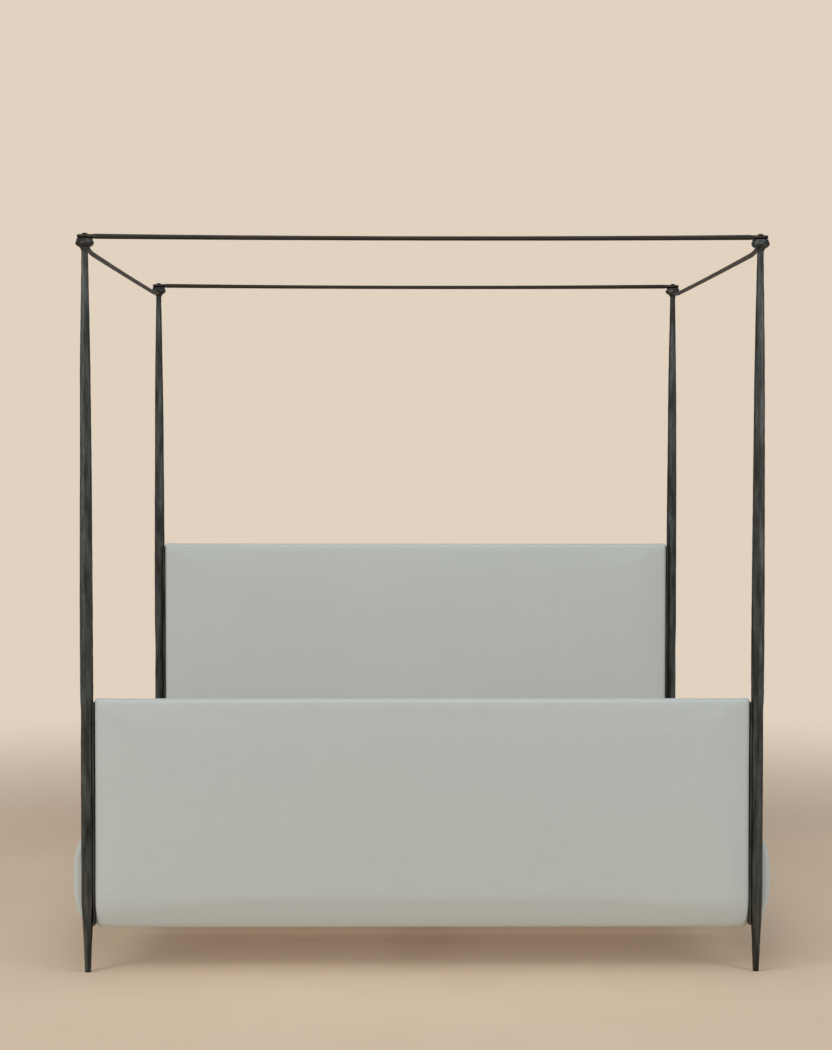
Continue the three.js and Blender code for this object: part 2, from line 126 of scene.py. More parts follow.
def forged_iron(name, rubbed, brown, drawn):
    """Waxed black iron: dark scale, patches rubbed brighter, a brown bloom and a pitted, hammered skin.

    rubbed sets the patches' colour per part, so it also paints light: lighter on the posts for their lit
    facets, darker on the rails as painted shade.
    drawn is how much the marks shrink along each axis, as they are longest where the bar was drawn out; on the
    posts the long light marks also paint the highlight streaks of lit facets."""
    look = Shader(name, Metallic=0.6, Specular_IOR_Level=0.3)
    scale = rgb(42, 45, 43)
    bloom = rgb(68, 48, 29)
    grained = look.scaled_place(drawn)
    patches = look.noise(grained, 60.0, 6.0, 0.6)
    fine = look.noise(grained, 320.0, 5.0, 0.65)
    # Rubbed patches: wear whose tone per part also carries painted light on the posts, where their long streaks
    # paint facet highlights, and painted shade on the rails.
    colour = look.mix(look.ramp(patches, 0.38, 0.68, 0.0, 1.0), scale, rubbed)
    clouds = look.noise(look.place, 7.0, 3.0)
    colour = look.mix(look.ramp(clouds, 0.3, 0.65, 0.4 * brown, brown), colour, bloom)
    rough = look.math("ADD", look.ramp(patches, 0.3, 0.7, 0.48, 0.36), look.ramp(fine, 0.3, 0.7, -0.03, 0.03))
    blows = look.node("ShaderNodeTexVoronoi", {"Vector": grained, "Scale": 85.0, "Smoothness": 0.6},
                   feature="SMOOTH_F1").outputs["Distance"]
    normal = look.bump(fine, 0.12 * MM, 0.5, look.bump(blows, 0.6 * MM, 0.3))
    return look.finish(Base_Color=colour, Roughness=rough, Normal=normal)


def linen(name, along):
    """Pale grey linen in plain weave. along is the horizontal axis of the cloth's face: "X" or "Y"."""
    look = Shader(name, Roughness=0.94, Sheen_Weight=0.18, Sheen_Roughness=0.5, Specular_IOR_Level=0.15)
    split = look.node("ShaderNodeSeparateXYZ", {0: look.place}).outputs
    depth = "Y" if along == "X" else "X"
    weft = look.math("ADD", split[along], look.math("MULTIPLY", split[depth], 0.9))
    warp = look.math("ADD", split["Z"], look.math("MULTIPLY", split[depth], 0.9))
    cloth = look.node("ShaderNodeCombineXYZ", {"X": weft, "Y": warp}).outputs[0]
    thread = 2 * math.pi / (1.3 * MM)
    over = look.math("SINE", look.math("MULTIPLY", weft, thread))
    under = look.math("SINE", look.math("MULTIPLY", warp, thread))
    weave = look.math("MULTIPLY", over, under)
    slub = look.noise(look.scaled_place((11.0, 520.0, 1.0), cloth), 1.0, 3.0, 0.6)
    rib = look.noise(look.scaled_place((480.0, 9.0, 1.0), cloth), 1.0, 3.0, 0.6)
    wash = look.noise(look.scaled_place((2.2, 3.0, 1.0), cloth), 1.0, 2.0)
    fuzz = look.noise(look.place, 900.0, 3.0, 0.7)
    pale, deep = rgb(201, 207, 205), rgb(190, 197, 195)
    colour = look.mix(look.ramp(slub, 0.35, 0.72, 0.0, 0.7), pale, deep)
    colour = look.mix(look.ramp(rib, 0.45, 0.8, 0.0, 0.3), colour, rgb(186, 192, 189))
    colour = look.mix(look.ramp(wash, 0.3, 0.7, 0.0, 0.4), colour, rgb(192, 200, 200))
    colour = look.mix(look.ramp(weave, -1.0, 1.0, 0.1, 0.0), colour, rgb(150, 155, 152))
    uneven = look.math("ADD", slub, look.math("MULTIPLY", rib, 0.4))
    threads = look.math("ADD", look.math("MULTIPLY", weave, 0.3), uneven)
    normal = look.bump(fuzz, 0.1 * MM, 0.5, look.bump(threads, 0.3 * MM, 0.3))
    return look.finish(Base_Color=colour, Normal=normal)


def timber(name, pale, dark, grain_axis, rings):
    """Planed softwood or plywood: long grain lines, darker late wood and a few flecks."""
    look = Shader(name, Roughness=0.6, Specular_IOR_Level=0.35)
    stretch = [42.0, 42.0, 42.0]
    stretch["XYZ".index(grain_axis)] = 1.6
    grained = look.scaled_place(tuple(stretch))
    broad = look.noise(grained, 1.0, 3.0)
    lines = look.math("FRACT", look.math("MULTIPLY", broad, rings))
    flecks = look.noise(look.scaled_place(tuple(12 * k for k in stretch)), 1.0, 4.0, 0.6)
    colour = look.mix(look.ramp(lines, 0.1, 0.95, 0.0, 0.8), pale, dark)
    colour = look.mix(look.ramp(flecks, 0.5, 0.75, 0.0, 0.35), colour, dark)
    normal = look.bump(look.math("ADD", lines, flecks), 0.15 * MM, 0.4)
    return look.finish(Base_Color=colour, Normal=normal)


def painted_steel(name, colour, rough, metallic=0.3):
    """Coated steel: an even coat with a faint orange-peel and rubbed spots."""
    look = Shader(name, Metallic=metallic)
    peel = look.noise(look.place, 420.0, 3.0)
    wear = look.noise(look.place, 30.0, 5.0, 0.65)
    lighter = tuple(min(1.0, 1.9 * c + 0.01) for c in colour[:3]) + (1.0,)
    tint = look.mix(look.ramp(wear, 0.55, 0.8, 0.0, 0.6), colour, lighter)
    return look.finish(Base_Color=tint, Roughness=look.ramp(wear, 0.3, 0.7, rough + 0.08, rough - 0.06),
                    Normal=look.bump(peel, 0.1 * MM, 0.5))


# Copies of one forged iron in different tones: the posts' lighter rubbed patches are painted light standing in
# for lit facets, and the end and side rails' darker ones are painted shade. The side rails' brown bloom is the
# iron's own colour.
IRON = forged_iron("forged_iron", rgb(78, 82, 80), 0.15, (1.0, 1.0, 1.0))
IRON_POST_PAINTED_LIGHT = forged_iron("forged_iron_post_painted_light", rgb(88, 93, 90), 0.15, (1.0, 1.0, 0.12))
IRON_END_RAIL_PAINTED_SHADE = forged_iron("forged_iron_end_rail_painted_shade", rgb(50, 51, 48), 0.3, (0.12, 1.0, 1.0))
IRON_SIDE_RAIL_PAINTED_SHADE = forged_iron("forged_iron_side_rail_painted_shade", rgb(60, 54, 46), 1.0, (1.0, 0.12, 1.0))
LINEN_X = linen("linen_across", "X")
LINEN_Y = linen("linen_along", "Y")
PINE = timber("pine", rgb(226, 206, 170), rgb(190, 158, 116), "X", 9.0)
PINE_BEAM = timber("pine_beam", rgb(222, 200, 163), rgb(184, 150, 108), "Y", 9.0)
PLYWOOD = timber("plywood", rgb(212, 188, 148), rgb(172, 140, 98), "Y", 5.0)
BLACK_STEEL = painted_steel("black_steel", rgb(44, 45, 45), 0.5)
ZINC = painted_steel("zinc_steel", rgb(176, 180, 182), 0.36, 0.95)
NYLON = painted_steel("black_nylon", rgb(36, 36, 37), 0.55, 0.0)


# ---- Mesh helpers ----

def make_piece(name, points, faces, material, slot, body, *nodes):
    """A smooth mesh object that rides on a body and stands for CAD nodes."""
    mesh = bpy.data.meshes.new(name)
    mesh.from_pydata(np.asarray(points, float).tolist(), [], [list(map(int, f)) for f in faces])
    mesh.validate()
    mesh.shade_smooth()
    mesh.materials.append(material)
    piece = bpy.data.objects.new(name, mesh)
    bpy.context.scene.collection.objects.link(piece)
    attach(piece, body)
    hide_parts(*nodes)
    return piece


def loft_faces(rows, around):
    """Faces of a closed tube of rings of points, with a cap at each end."""
    ring = np.arange(around)
    ahead = (ring + 1) % around
    faces = []
    for row in range(rows - 1):
        low, high = row * around, (row + 1) * around
        faces += np.stack([low + ring, low + ahead, high + ahead, high + ring], axis=1).tolist()
    faces.append(ring[::-1].tolist())
    faces.append((ring + (rows - 1) * around).tolist())
    return faces


def corner_profile(node, centre, axis):
    """[place along axis, distance of the outermost corner] up a turned or tapered CAD node."""
    points = np.array([v.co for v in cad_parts[node].data.vertices], float)
    others = [k for k in range(3) if k != axis]
    reach = np.hypot(points[:, others[0]] - centre[others[0]], points[:, others[1]] - centre[others[1]])
    places = np.unique(points[:, axis].round(5))
    return np.array([(place, reach[abs(points[:, axis] - place) < 2e-5].max()) for place in places])


def dents(places, turns, rng, spacing, sides, length, depth):
    """Depth of shallow hammer marks over a bar: places along it by turns, in facets, round it."""
    marks = np.zeros((len(places), len(turns)))
    for facet in range(sides):
        centre = places[0] + spacing * rng.random()
        while centre < places[-1]:
            off_turn = (turns - facet - 0.5 + 0.3 * (rng.random() - 0.5) + sides / 2) % sides - sides / 2
            reach = length * (0.7 + 0.6 * rng.random())
            along = (places - centre) / reach
            near = abs(along) < 1
            bowl = 1 - along[near, None] ** 2 - (off_turn[None, :] / 0.62) ** 2
            deep = depth * (0.5 + 0.8 * rng.random())
            marks[near] = np.maximum(marks[near], deep * np.clip(bowl, 0, None))
            centre += spacing * (0.7 + 0.6 * rng.random())
    return marks


def octagon(turns, soften):
    """Distance from the middle to the edge of a softened octagon whose corners lie at whole turns."""
    half = math.pi / 8
    within = (turns % 1.0) * 2 * half - half
    flat = math.cos(half) / np.cos(within)
    return flat * (1 - soften) + soften * 0.97


FACETS = 8
COLUMNS_PER_FACET = 6
EDGE_WEAR = 0.12
DEEPEST_DENT = 0.12
UNEVENNESS = 0.012


def forged_bar(centres, across, up, radii, phase, seed, marks, shape=None):
    """A hammered eight-sided bar along a line of centres, as points and faces.

    across and up span its section, radii are the corner distances, phase turns the section in facets, and
    marks are the dents' spacing, length and depth. shape, if given, widens and flattens it at each place."""
    rng = np.random.default_rng(seed)
    around = FACETS * COLUMNS_PER_FACET
    turns = np.arange(around) / COLUMNS_PER_FACET
    angles = (turns + phase) * 2 * math.pi / FACETS
    along = np.concatenate([[0], np.cumsum(np.linalg.norm(np.diff(centres, axis=0), axis=1))])
    spacing, length, depth = marks
    reach = radii[:, None] * octagon(turns, EDGE_WEAR)[None, :]
    beaten = dents(along, turns, rng, spacing, FACETS, length, depth)
    reach = reach - np.minimum(beaten, DEEPEST_DENT * radii[:, None])
    wander = np.array([noise.noise(Vector((place * 9, seed, 0.5))) for place in along])
    reach = reach * (1 + UNEVENNESS * wander[:, None])
    widths = np.ones((len(along), 2)) if shape is None else shape
    sideways = (reach * np.cos(angles) * widths[:, :1])[..., None] * across
    upwards = (reach * np.sin(angles) * widths[:, 1:])[..., None] * up
    points = (centres[:, None, :] + sideways + upwards).reshape(-1, 3)
    return points, loft_faces(len(along), around)


# ---- Forged iron ----

def build_post(corner, seed):
    """A post: the CAD taper smoothed, swaying a little from straight, with its neck run into the collar."""
    node = f"post_{corner}"
    collar_low, collar_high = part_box(f"collar_{corner}")
    centre = (collar_low + collar_high) / 2
    profile = corner_profile(node, centre, 2)
    tapered = profile[profile[:, 0] < collar_low.z + 0.5 * MM]
    glide_bore = 7 * MM
    outer = tapered[tapered[:, 1] > glide_bore]
    step, into_collar = 5.5 * MM, 6 * MM
    heights = np.arange(outer[0, 0], collar_low.z + into_collar, step)
    radii = np.interp(heights, outer[:, 0], outer[:, 1])
    blend = 4
    kernel = np.hanning(2 * blend + 1)
    radii = np.convolve(np.pad(radii, blend, mode="edge"), kernel / kernel.sum(), mode="valid")
    worn_tip, dent_allowance = 0.93, 0.6 * MM
    radii[0] *= worn_tip
    radii += dent_allowance
    sway_waves, sway_reach = 2.2, 0.9 * MM
    sway = np.array([[noise.noise(Vector((height * sway_waves, seed, apart))) for apart in (0, 9)]
                     for height in heights]) * sway_reach
    centres = np.column_stack([centre.x + sway[:, 0], centre.y + sway[:, 1], heights])
    points, faces = forged_bar(centres, X_AXIS, Y_AXIS, radii, 0.0, seed, (38 * MM, 30 * MM, 0.8 * MM))
    make_piece(f"forged_post_{corner}", points, faces, IRON_POST_PAINTED_LIGHT, "forged_iron", "bed", node)


def revolve(profile, segments, centre, marks, rng):
    """Points and faces of a turned, hammered piece. marks are the number of blows on it and their depth."""
    angles = np.arange(segments) * 2 * math.pi / segments
    count, depth = marks
    places = np.arange(len(profile))
    radius = np.repeat(profile[:, :1], segments, axis=1)
    for _ in range(count):
        at, row = rng.random() * 2 * math.pi, rng.random() * len(profile)
        off = (angles - at + math.pi) % (2 * math.pi) - math.pi
        bowl = 1 - (off[None, :] / (0.28 + 0.2 * rng.random())) ** 2 - ((places[:, None] - row) / 5.0) ** 2
        radius -= depth * (0.4 + rng.random()) * np.clip(bowl, 0, None) * (profile[:, :1] > 6 * MM)
    x = centre.x + radius * np.cos(angles)
    y = centre.y + radius * np.sin(angles)
    z = np.repeat(centre.z + profile[:, 1:], segments, axis=1)
    return np.stack([x, y, z], axis=-1).reshape(-1, 3), loft_faces(len(profile), segments)


def smooth_profile(knots, steps):
    """A smooth line of [radius, height] through a few knots, by a Catmull-Rom curve."""
    knots = np.array(knots, float) * MM
    ends = np.vstack([2 * knots[0] - knots[1], knots, 2 * knots[-1] - knots[-2]])
    shares = np.arange(steps)[:, None] / steps
    line = []
    for a, b, c, d in zip(ends, ends[1:], ends[2:], ends[3:]):
        line.append(0.5 * (2 * b + (c - a) * shares + (2 * a - 5 * b + 4 * c - d) * shares ** 2
                           + (3 * b - a - 3 * c + d) * shares ** 3))
    return np.vstack([*line, knots[-1:]])


def build_collar(corner, seed):
    """A lumpy forged cup: a cone off the post's neck, a beaten rim and a recess below the rail's eye."""
    low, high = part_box(f"collar_{corner}")
    top = (high.z - low.z) / MM
    centre = Vector(((low.x + high.x) / 2, (low.y + high.y) / 2, low.z))
    rim = (high.x - low.x) / 2 / MM
    knots = [(9.8, -9), (10.6, -5), (12.2, 0), (16, 5.5), (rim - 5.5, 10.5), (rim - 1.2, 14), (rim, 18),
             (rim - 0.4, 22), (rim - 2, 25), (rim - 4, 27), (rim - 3.6, top - 2), (rim - 5, top - 0.4),
             (rim - 14, top + 0.2)]
    points, faces = revolve(smooth_profile(knots, 4), 96, centre, (46, 1.5 * MM), np.random.default_rng(seed))
    make_piece(f"forged_collar_{corner}", points, faces, IRON, "forged_iron", "bed", f"collar_{corner}")


def build_finial(corner, seed):
    """The beaten dome of the bolt that holds the eye down, with a plain shank below."""
    node = f"finial_bolt_{corner}"
    low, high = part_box(node)
    centre = Vector(((low.x + high.x) / 2, (low.y + high.y) / 2, high.z))
    head = (high.x - low.x) / 2 / MM
    shank_end = (low.z - high.z) / MM
    knots = [(3.6, shank_end), (4.4, shank_end + 1), (4.5, -12), (4.6, -5), (head - 0.6, -4.3), (head, -3.4),
             (head - 0.9, -2.2), (head - 3.4, -0.8), (2.2, -0.1), (0.3, 0)]
    points, faces = revolve(smooth_profile(knots, 4), 48, centre, (12, 0.5 * MM), np.random.default_rng(seed))
    make_piece(f"domed_bolt_{corner}", points, faces, IRON, "forged_iron", "bed", node)


def build_end_rail(end, seed):
    """The canopy rail across one end: it sags, thins to mid span and flattens into an eye at each post."""
    node = f"canopy_rail_{end}"
    low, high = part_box(node)
    posts = [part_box(f"finial_bolt_{end}_{side}") for side in SIDES]
    left, right = [(a.x + b.x) / 2 for a, b in posts]
    eye = left - low.x
    thick = 13.2 * MM
    shoulder = 16 * MM
    axis_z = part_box(f"collar_{end}_left")[1].z + 0.4 * MM + thick / 2
    bar_start, bar_end = left + eye + shoulder, right - eye - shoulder
    bend = np.linspace(0, math.pi / 2, 16)
    eye_places = low.x + eye * (1 - np.cos(bend))
    neck_places = np.linspace(left, bar_start, 10)[1:]
    span = np.arange(bar_start, bar_end, 6 * MM)[1:]
    left_half = np.concatenate([eye_places, neck_places])
    right_half = (left + right - left_half)[::-1]
    places = np.concatenate([left_half, span, right_half])
    inward = np.minimum(places - left, right - places)
    share = (places - (left + right) / 2) / ((right - left) / 2)
    slack = np.clip(1 - share ** 2, 0, 1)
    radius = (8.6 - 1.3 * slack) * MM
    waist = 0.35 * eye
    ease = np.clip((inward - waist) / (eye + shoulder - waist), 0, 1)
    ease = ease * ease * (3 - 2 * ease)
    disc = np.sqrt(np.clip(eye ** 2 - inward ** 2, 0, None))
    wide = np.maximum(np.where(inward < waist, disc, 0), disc * (1 - ease) + radius * ease)
    wide = np.clip(wide, 1.2 * MM, None)
    lip = np.clip((inward + eye) / (5 * MM), 0, 1)
    tall = (thick / 2 * (1 - ease) + radius * ease) * np.sqrt(np.clip(1 - (1 - lip) ** 2, 0.15, 1))
    shape = np.column_stack([wide, tall]) / radius[:, None]
    sag = 5 * MM
    centres = np.column_stack([places, np.full_like(places, (low.y + high.y) / 2), axis_z - sag * slack])
    marks = (34 * MM, 26 * MM, 0.35 * MM)
    points, faces = forged_bar(centres, Y_AXIS, Z_AXIS, radius, 0.5, seed, marks, shape)
    make_piece(f"forged_canopy_rail_{end}", points, faces, IRON_END_RAIL_PAINTED_SHADE, "forged_iron", "bed", node)


def build_side_rail(side, seed):
    """The lower canopy rail along one side, which lifts into the collars at both ends."""
    node = f"canopy_rail_{side}"
    low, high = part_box(node)
    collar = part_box(f"collar_foot_{side}")
    x = (low.x + high.x) / 2
    inside_collar = 13 * MM
    foot = (collar[0].y + collar[1].y) / 2 + inside_collar
    places = np.arange(foot, -foot, 6 * MM)
    share = places / abs(foot)
    slack = 1 - share ** 2
    bend, rise, sag = 190 * MM, 14 * MM, 2 * MM
    lift = rise * np.clip((abs(places) - (abs(foot) - bend)) / bend, 0, 1) ** 2
    axis_z = high.z - 17.6 * MM
    radius = (8.0 - 0.8 * slack) * MM
    centres = np.column_stack([np.full_like(places, x), places, axis_z - sag * slack + lift])
    points, faces = forged_bar(centres, X_AXIS, Z_AXIS, radius, 0.5, seed, (34 * MM, 26 * MM, 0.3 * MM))
    faces = [face[::-1] for face in faces]
    make_piece(f"forged_canopy_rail_{side}", points, faces, IRON_SIDE_RAIL_PAINTED_SHADE, "forged_iron", "bed", node)


# ---- Levellers ----

def build_leveller_stem(end):
    """An M10 screw: a plain foot in the pad's socket, a hexagon to turn it by, and a rolled thread above."""
    node = f"leveller_stem_{end}"
    low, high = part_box(node)
    centre_x, centre_y = (low.x + high.x) / 2, (low.y + high.y) / 2
    major, depth, pitch = 4.98 * MM, 0.75 * MM, 1.5 * MM
    hex_low, hex_high, hex_corner = 9 * MM, 15 * MM, 8.5 * MM
    chamfer = 0.7 * MM
    thread_start = hex_high + 1.5 * MM
    segments, rows_per_turn = 72, 8
    angles = np.arange(segments) * 2 * math.pi / segments
    hexagon = hex_corner * math.cos(math.pi / 6) / np.cos(angles % (math.pi / 3) - math.pi / 6)
    trimmed = np.minimum(hexagon, hex_corner - chamfer)
    plain = np.full_like(angles, major)
    rows = [(low.z, plain - 0.8 * MM), (low.z + 0.8 * MM, plain), (hex_low, plain), (hex_low, trimmed),
            (hex_low + chamfer / 2, hexagon), (hex_high - chamfer / 2, hexagon), (hex_high, trimmed),
            (hex_high, plain - depth)]
    heights = np.arange(thread_start, high.z - MM, pitch / rows_per_turn)
    for height in heights:
        turn = (height / pitch - angles / (2 * math.pi)) % 1.0
        groove = np.clip(1.15 * abs(2 * turn - 1) - 0.08, 0, 1)
        fade = min(1.0, (height - thread_start) / pitch, (high.z - height) / pitch)
        rows.append((height, major - depth * (1 - fade + fade * groove)))
    rows.append((high.z, plain - 1.4 * MM))
    points = [(centre_x + r * math.cos(a), centre_y + r * math.sin(a), height)
              for height, ring in rows for a, r in zip(angles, ring)]
    piece = make_piece(f"threaded_stem_{end}", points, loft_faces(len(rows), len(angles)), ZINC, "zinc_steel",
                       f"{end}_stem", node)
    piece.data.set_sharp_from_angle(angle=math.radians(35))


# ---- Padded linen ----

def lattice_shell(xs, ys, zs, filled):
    """Points and quads of the skin of the filled cells of a lattice. It is always closed."""
    lines = [np.asarray(xs), np.asarray(ys), np.asarray(zs)]
    cells = np.pad(filled, 1)
    counts = [len(line) for line in lines]
    corners = []
    for axis in range(3):
        b, c = (axis + 1) % 3, (axis + 2) % 3
        lower = np.moveaxis(cells, axis, 0)[:-1]
        upper = np.moveaxis(cells, axis, 0)[1:]
        for flip, wall in ((False, lower & ~upper), (True, upper & ~lower)):
            found = np.argwhere(wall)
            moved = np.zeros((len(found), 3), int)
            moved[:, axis] = found[:, 0]
            rest = [k for k in range(3) if k != axis]
            moved[:, rest[0]] = found[:, 1] - 1
            moved[:, rest[1]] = found[:, 2] - 1
            quad = np.repeat(moved[:, None, :], 4, axis=1)
            quad[:, 1:3, b] += 1
            quad[:, 2:4, c] += 1
            corners.append(quad[:, ::-1] if flip else quad)
    quads = np.concatenate(corners)
    keys = (quads[..., 0] * counts[1] + quads[..., 1]) * counts[2] + quads[..., 2]
    kept, faces = np.unique(keys, return_inverse=True)
    faces = faces.reshape(keys.shape)
    index = [kept // (counts[1] * counts[2]), kept // counts[2] % counts[1], kept % counts[2]]
    points = np.stack([line[i] for line, i in zip(lines, index)], axis=1)
    return points, faces


def ticks(*stretches):
    """Lattice lines: each stretch is (start, end, step), and stretches follow on from each other."""
    parts = []
    for start, end, step in stretches:
        count = max(1, round(abs(end - start) / step))
        parts.append(np.linspace(start, end, count + 1))
    return np.unique(np.concatenate(parts).round(6))


def round_box(points, low, high, soft_low, soft_high):
    """Rounds the edges and corners of a box of points. soft_low and soft_high are the radii by axis."""
    low, high = np.array(low), np.array(high)
    soft_low, soft_high = np.array(soft_low), np.array(soft_high)
    below = np.clip((low + soft_low - points) / soft_low, 0, 1)
    above = np.clip((points - high + soft_high) / soft_high, 0, 1)
    outward = above - below
    length = np.linalg.norm(outward, axis=1)
    largest = abs(outward).max(axis=1)
    factor = np.where(length > 0, largest / np.maximum(length, 1e-9), 1)[:, None]
    rounded = np.where(outward > 0, high - soft_high + above * soft_high * factor, points)
    return np.where(outward < 0, low + soft_low - below * soft_low * factor, rounded)


def evened(mesh, values, rounds):
    """Values at a mesh's vertices, averaged with their neighbours' a few times over: cloth drawn taut."""
    ends = np.array([edge.vertices for edge in mesh.edges])
    both = np.concatenate([ends, ends[:, ::-1]])
    neighbours = np.bincount(both[:, 0], minlength=len(values))[:, None]
    for _ in range(rounds):
        sums = [np.bincount(both[:, 0], weights=values[both[:, 1], axis], minlength=len(values))
                for axis in range(3)]
        values = (values + np.stack(sums, axis=1)) / (neighbours + 1)
    return values


STUFFING_PRESSURE = 3.0
STUFFING_FRAMES = 15
STUFFING_CAP = 3 * MM
TAUTNESS = 12


def inflate(piece, free):
    """Cloth simulation of stuffing that presses a cover out. free is how loose each point is, 0 to 1."""
    rest = np.array([v.co for v in piece.data.vertices], float)
    group = piece.vertex_groups.new(name="held")
    for index, looseness in enumerate(free):
        group.add([index], float(1 - looseness), "REPLACE")
    cloth = piece.modifiers.new("stuffing", "CLOTH")
    cloth.settings.quality = 4
    cloth.settings.mass = 0.3
    cloth.settings.tension_stiffness = 25
    cloth.settings.compression_stiffness = 25
    cloth.settings.bending_stiffness = 2
    cloth.settings.use_pressure = True
    cloth.settings.uniform_pressure_force = STUFFING_PRESSURE
    cloth.settings.vertex_group_mass = "held"
    cloth.settings.effector_weights.gravity = 0
    cloth.point_cache.frame_start = 1
    cloth.point_cache.frame_end = STUFFING_FRAMES
    for number in range(1, STUFFING_FRAMES + 1):
        bpy.context.scene.frame_set(number)
    swollen = piece.evaluated_get(bpy.context.evaluated_depsgraph_get())
    pressed = np.array([v.co for v in swollen.data.vertices], float)
    moved = evened(piece.data, pressed - rest, TAUTNESS)
    length = np.linalg.norm(moved, axis=1)
    share = STUFFING_CAP * np.tanh(length / STUFFING_CAP) / np.maximum(length, 1e-9)
    moved *= share[:, None] * np.asarray(free)[:, None]
    piece.modifiers.remove(cloth)
    piece.vertex_groups.remove(group)
    piece.data.vertices.foreach_set("co", (rest + moved).ravel())
    piece.data.update()
    bpy.context.scene.frame_set(1)


def refine(piece):
    """One level of subdivision, kept as a modifier."""
    subdivision = piece.modifiers.new("smooth", "SUBSURF")
    subdivision.levels = 1
    subdivision.render_levels = 1


def waves(points, scale, seed):
    """Smooth noise at each point, from -1 to 1. scale is waves per metre by axis."""
    return np.array([noise.noise(Vector((x * scale[0], y * scale[1], z * scale[2] + seed)))
                     for x, y, z in points])


def build_panel(node, core, closing):
    """A padded end panel: cloth drawn over a board, rolled under along the bottom and softly at the sides."""
    low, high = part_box(node)
    pocket_low, pocket_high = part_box(core)
    edge, gap = 15 * MM, 0.3 * MM
    x0, x1 = pocket_low.x - gap, pocket_high.x + gap
    z0, z1 = pocket_low.z - gap, pocket_high.z + gap
    pocket_y = pocket_low.y - gap
    near = 110 * MM
    xs = ticks((low.x, x0, 4 * MM), (x0, x0 + near, 8 * MM), (x0 + near, x1 - near, 13 * MM),
               (x1 - near, x1, 8 * MM), (x1, high.x, 4 * MM))
    zs = ticks((low.z, z0, 4 * MM), (z0, z0 + near, 8 * MM), (z0 + near, z1 - near, 13 * MM),
               (z1 - near, z1, 8 * MM), (z1, high.z, 4 * MM))
    ys = ticks((low.y, low.y + edge, 3.8 * MM), (low.y + edge, pocket_y, 5 * MM), (pocket_y, high.y, 9 * MM))
    middle = [(line[1:] + line[:-1]) / 2 for line in (xs, ys, zs)]
    cx, cy, cz = np.meshgrid(*middle, indexing="ij")
    hollow = (cx > x0) & (cx < x1) & (cz > z0) & (cz < z1) & (cy > pocket_y)
    points, faces = lattice_shell(xs, ys, zs, ~hollow)
    outer = (points[:, 0] <= x0 - MM) | (points[:, 0] >= x1 + MM) | (points[:, 2] <= z0 - MM) \
        | (points[:, 2] >= z1 + MM) | (points[:, 1] < pocket_y - MM)
    soft = round_box(points, low, high, (12 * MM, 17 * MM, 22 * MM), (12 * MM, 7 * MM, 11 * MM))
    points = np.where(outer[:, None], soft, points)
    thickness = high.y - low.y
    forward = np.clip((high.y - points[:, 1]) / thickness, 0, 1) * outer
    from_side = np.minimum(points[:, 0] - low.x, high.x - points[:, 0])
    roll_side = 14 * MM * np.clip(1 - from_side / (90 * MM), 0, 1) ** 2
    roll_foot = 27 * MM * np.clip(1 - (points[:, 2] - low.z) / (130 * MM), 0, 1) ** 3
    roll_top = 5 * MM * np.clip(1 - (high.z - points[:, 2]) / (40 * MM), 0, 1) ** 2
    upper = np.clip((points[:, 2] - z1) / (high.z - z1), 0, 1) * outer
    lower = np.clip((z0 - points[:, 2]) / (z0 - low.z), 0, 1) * outer
    points[:, 2] -= 8 * MM * upper * (1 - forward) ** 1.5
    points[:, 2] -= 5 * MM * lower
    points[:, 1] += forward * (roll_side + roll_foot + roll_top)
    ripple = waves(points, (5.0, 5.0, 3.5), 3.0) * 0.8 * MM + waves(points, (16.0, 8.0, 9.0), 7.0) * 0.25 * MM
    points[:, 1] += ripple * forward * np.clip(from_side / (40 * MM), 0, 1)
    name = f"{node.replace('_cover', '')}_upholstery"
    piece = make_piece(name, points, faces, LINEN_X, "linen", "bed", node)
    tacked = 30 * MM
    free = np.clip((high.y - tacked - points[:, 1]) / tacked, 0, 1) * outer
    inflate(piece, free)
    refine(piece)
    build_closing_panel(closing)


def build_closing_panel(node):
    """The thin upholstered panel that closes the back of an end panel."""
    low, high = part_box(node)
    border = 60 * MM
    xs = ticks((low.x, low.x + border, 6 * MM), (low.x + border, high.x - border, 20 * MM),
               (high.x - border, high.x, 6 * MM))
    zs = ticks((low.z, low.z + border, 6 * MM), (low.z + border, high.z - border, 20 * MM),
               (high.z - border, high.z, 6 * MM))
    ys = ticks((low.y, high.y, 3.6 * MM))
    points, faces = lattice_shell(xs, ys, zs, np.ones((len(xs) - 1, len(ys) - 1, len(zs) - 1), bool))
    points = round_box(points, low, high, (MM, MM, MM), (9 * MM, 9 * MM, 9 * MM))
    from_edge = np.minimum.reduce([points[:, 0] - low.x, high.x - points[:, 0],
                                   points[:, 2] - low.z, high.z - points[:, 2]])
    crown = np.clip(from_edge / (40 * MM), 0, 1)
    outward = points[:, 1] > (low.y + high.y) / 2
    points[:, 1] -= outward * 3 * MM * (1 - crown) ** 2
    points[:, 1] += outward * waves(points, (6.0, 1.0, 6.0), 21.0) * 0.5 * MM * crown
    piece = make_piece(f"{node}_upholstery", points, faces, LINEN_X, "linen", "bed", node)
    refine(piece)


